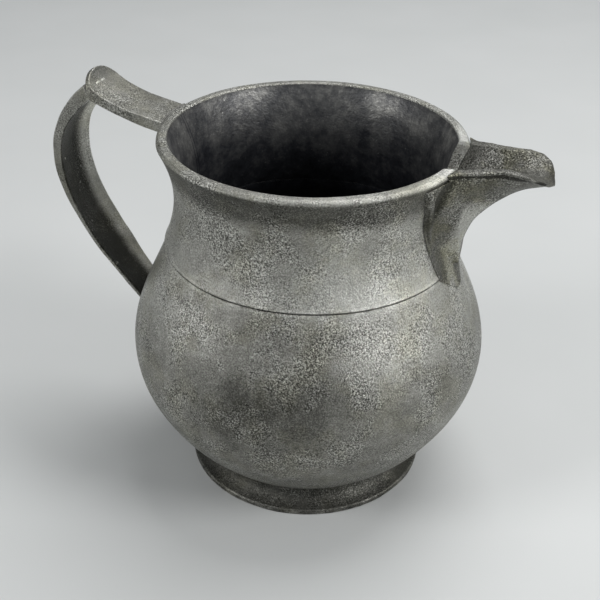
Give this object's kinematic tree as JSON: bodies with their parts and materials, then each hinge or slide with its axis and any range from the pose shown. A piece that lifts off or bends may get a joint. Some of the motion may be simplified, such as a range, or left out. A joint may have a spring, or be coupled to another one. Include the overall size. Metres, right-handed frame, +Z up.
{
  "type": "pewter measure jug",
  "caption": "Round-bellied footed pewter jug with a waisted neck, an open beak spout and a strap handle with a thumb tab, for measuring and pouring liquids.",
  "frame": {"origin": "centre of the foot ring's rest plane, on the pot's own axis", "axes": "+Z up along the pot's axis, +X towards the spout, -X towards the handle, +Y to the left of the spout"},
  "size_m": [0.143, 0.104, 0.1159],
  "materials": {
    "pot_pewter": "worn, finely pitted old pewter with a satin grey skin",
    "foot_pewter": "dark tarnished pewter, rubbed bright on the outer edge",
    "spout_pewter": "satin pewter with olive staining in the trough",
    "handle_pewter": "satin pewter rubbed smooth by hands",
    "solder": "dull grey tin solder"
  },
  "bodies": {
    "root": {"neck": "pot_pewter", "belly": "pot_pewter", "foot_ring": "foot_pewter", "base_disc": "foot_pewter", "spout": "spout_pewter", "handle_strap": "handle_pewter", "handle_grip": "handle_pewter", "shoulder_solder": "solder", "foot_solder": "solder", "base_solder": "solder", "spout_solder": "solder", "strap_solder": "solder", "corner_solder": "solder", "grip_solder": "solder"}
  },
  "joints": []
}
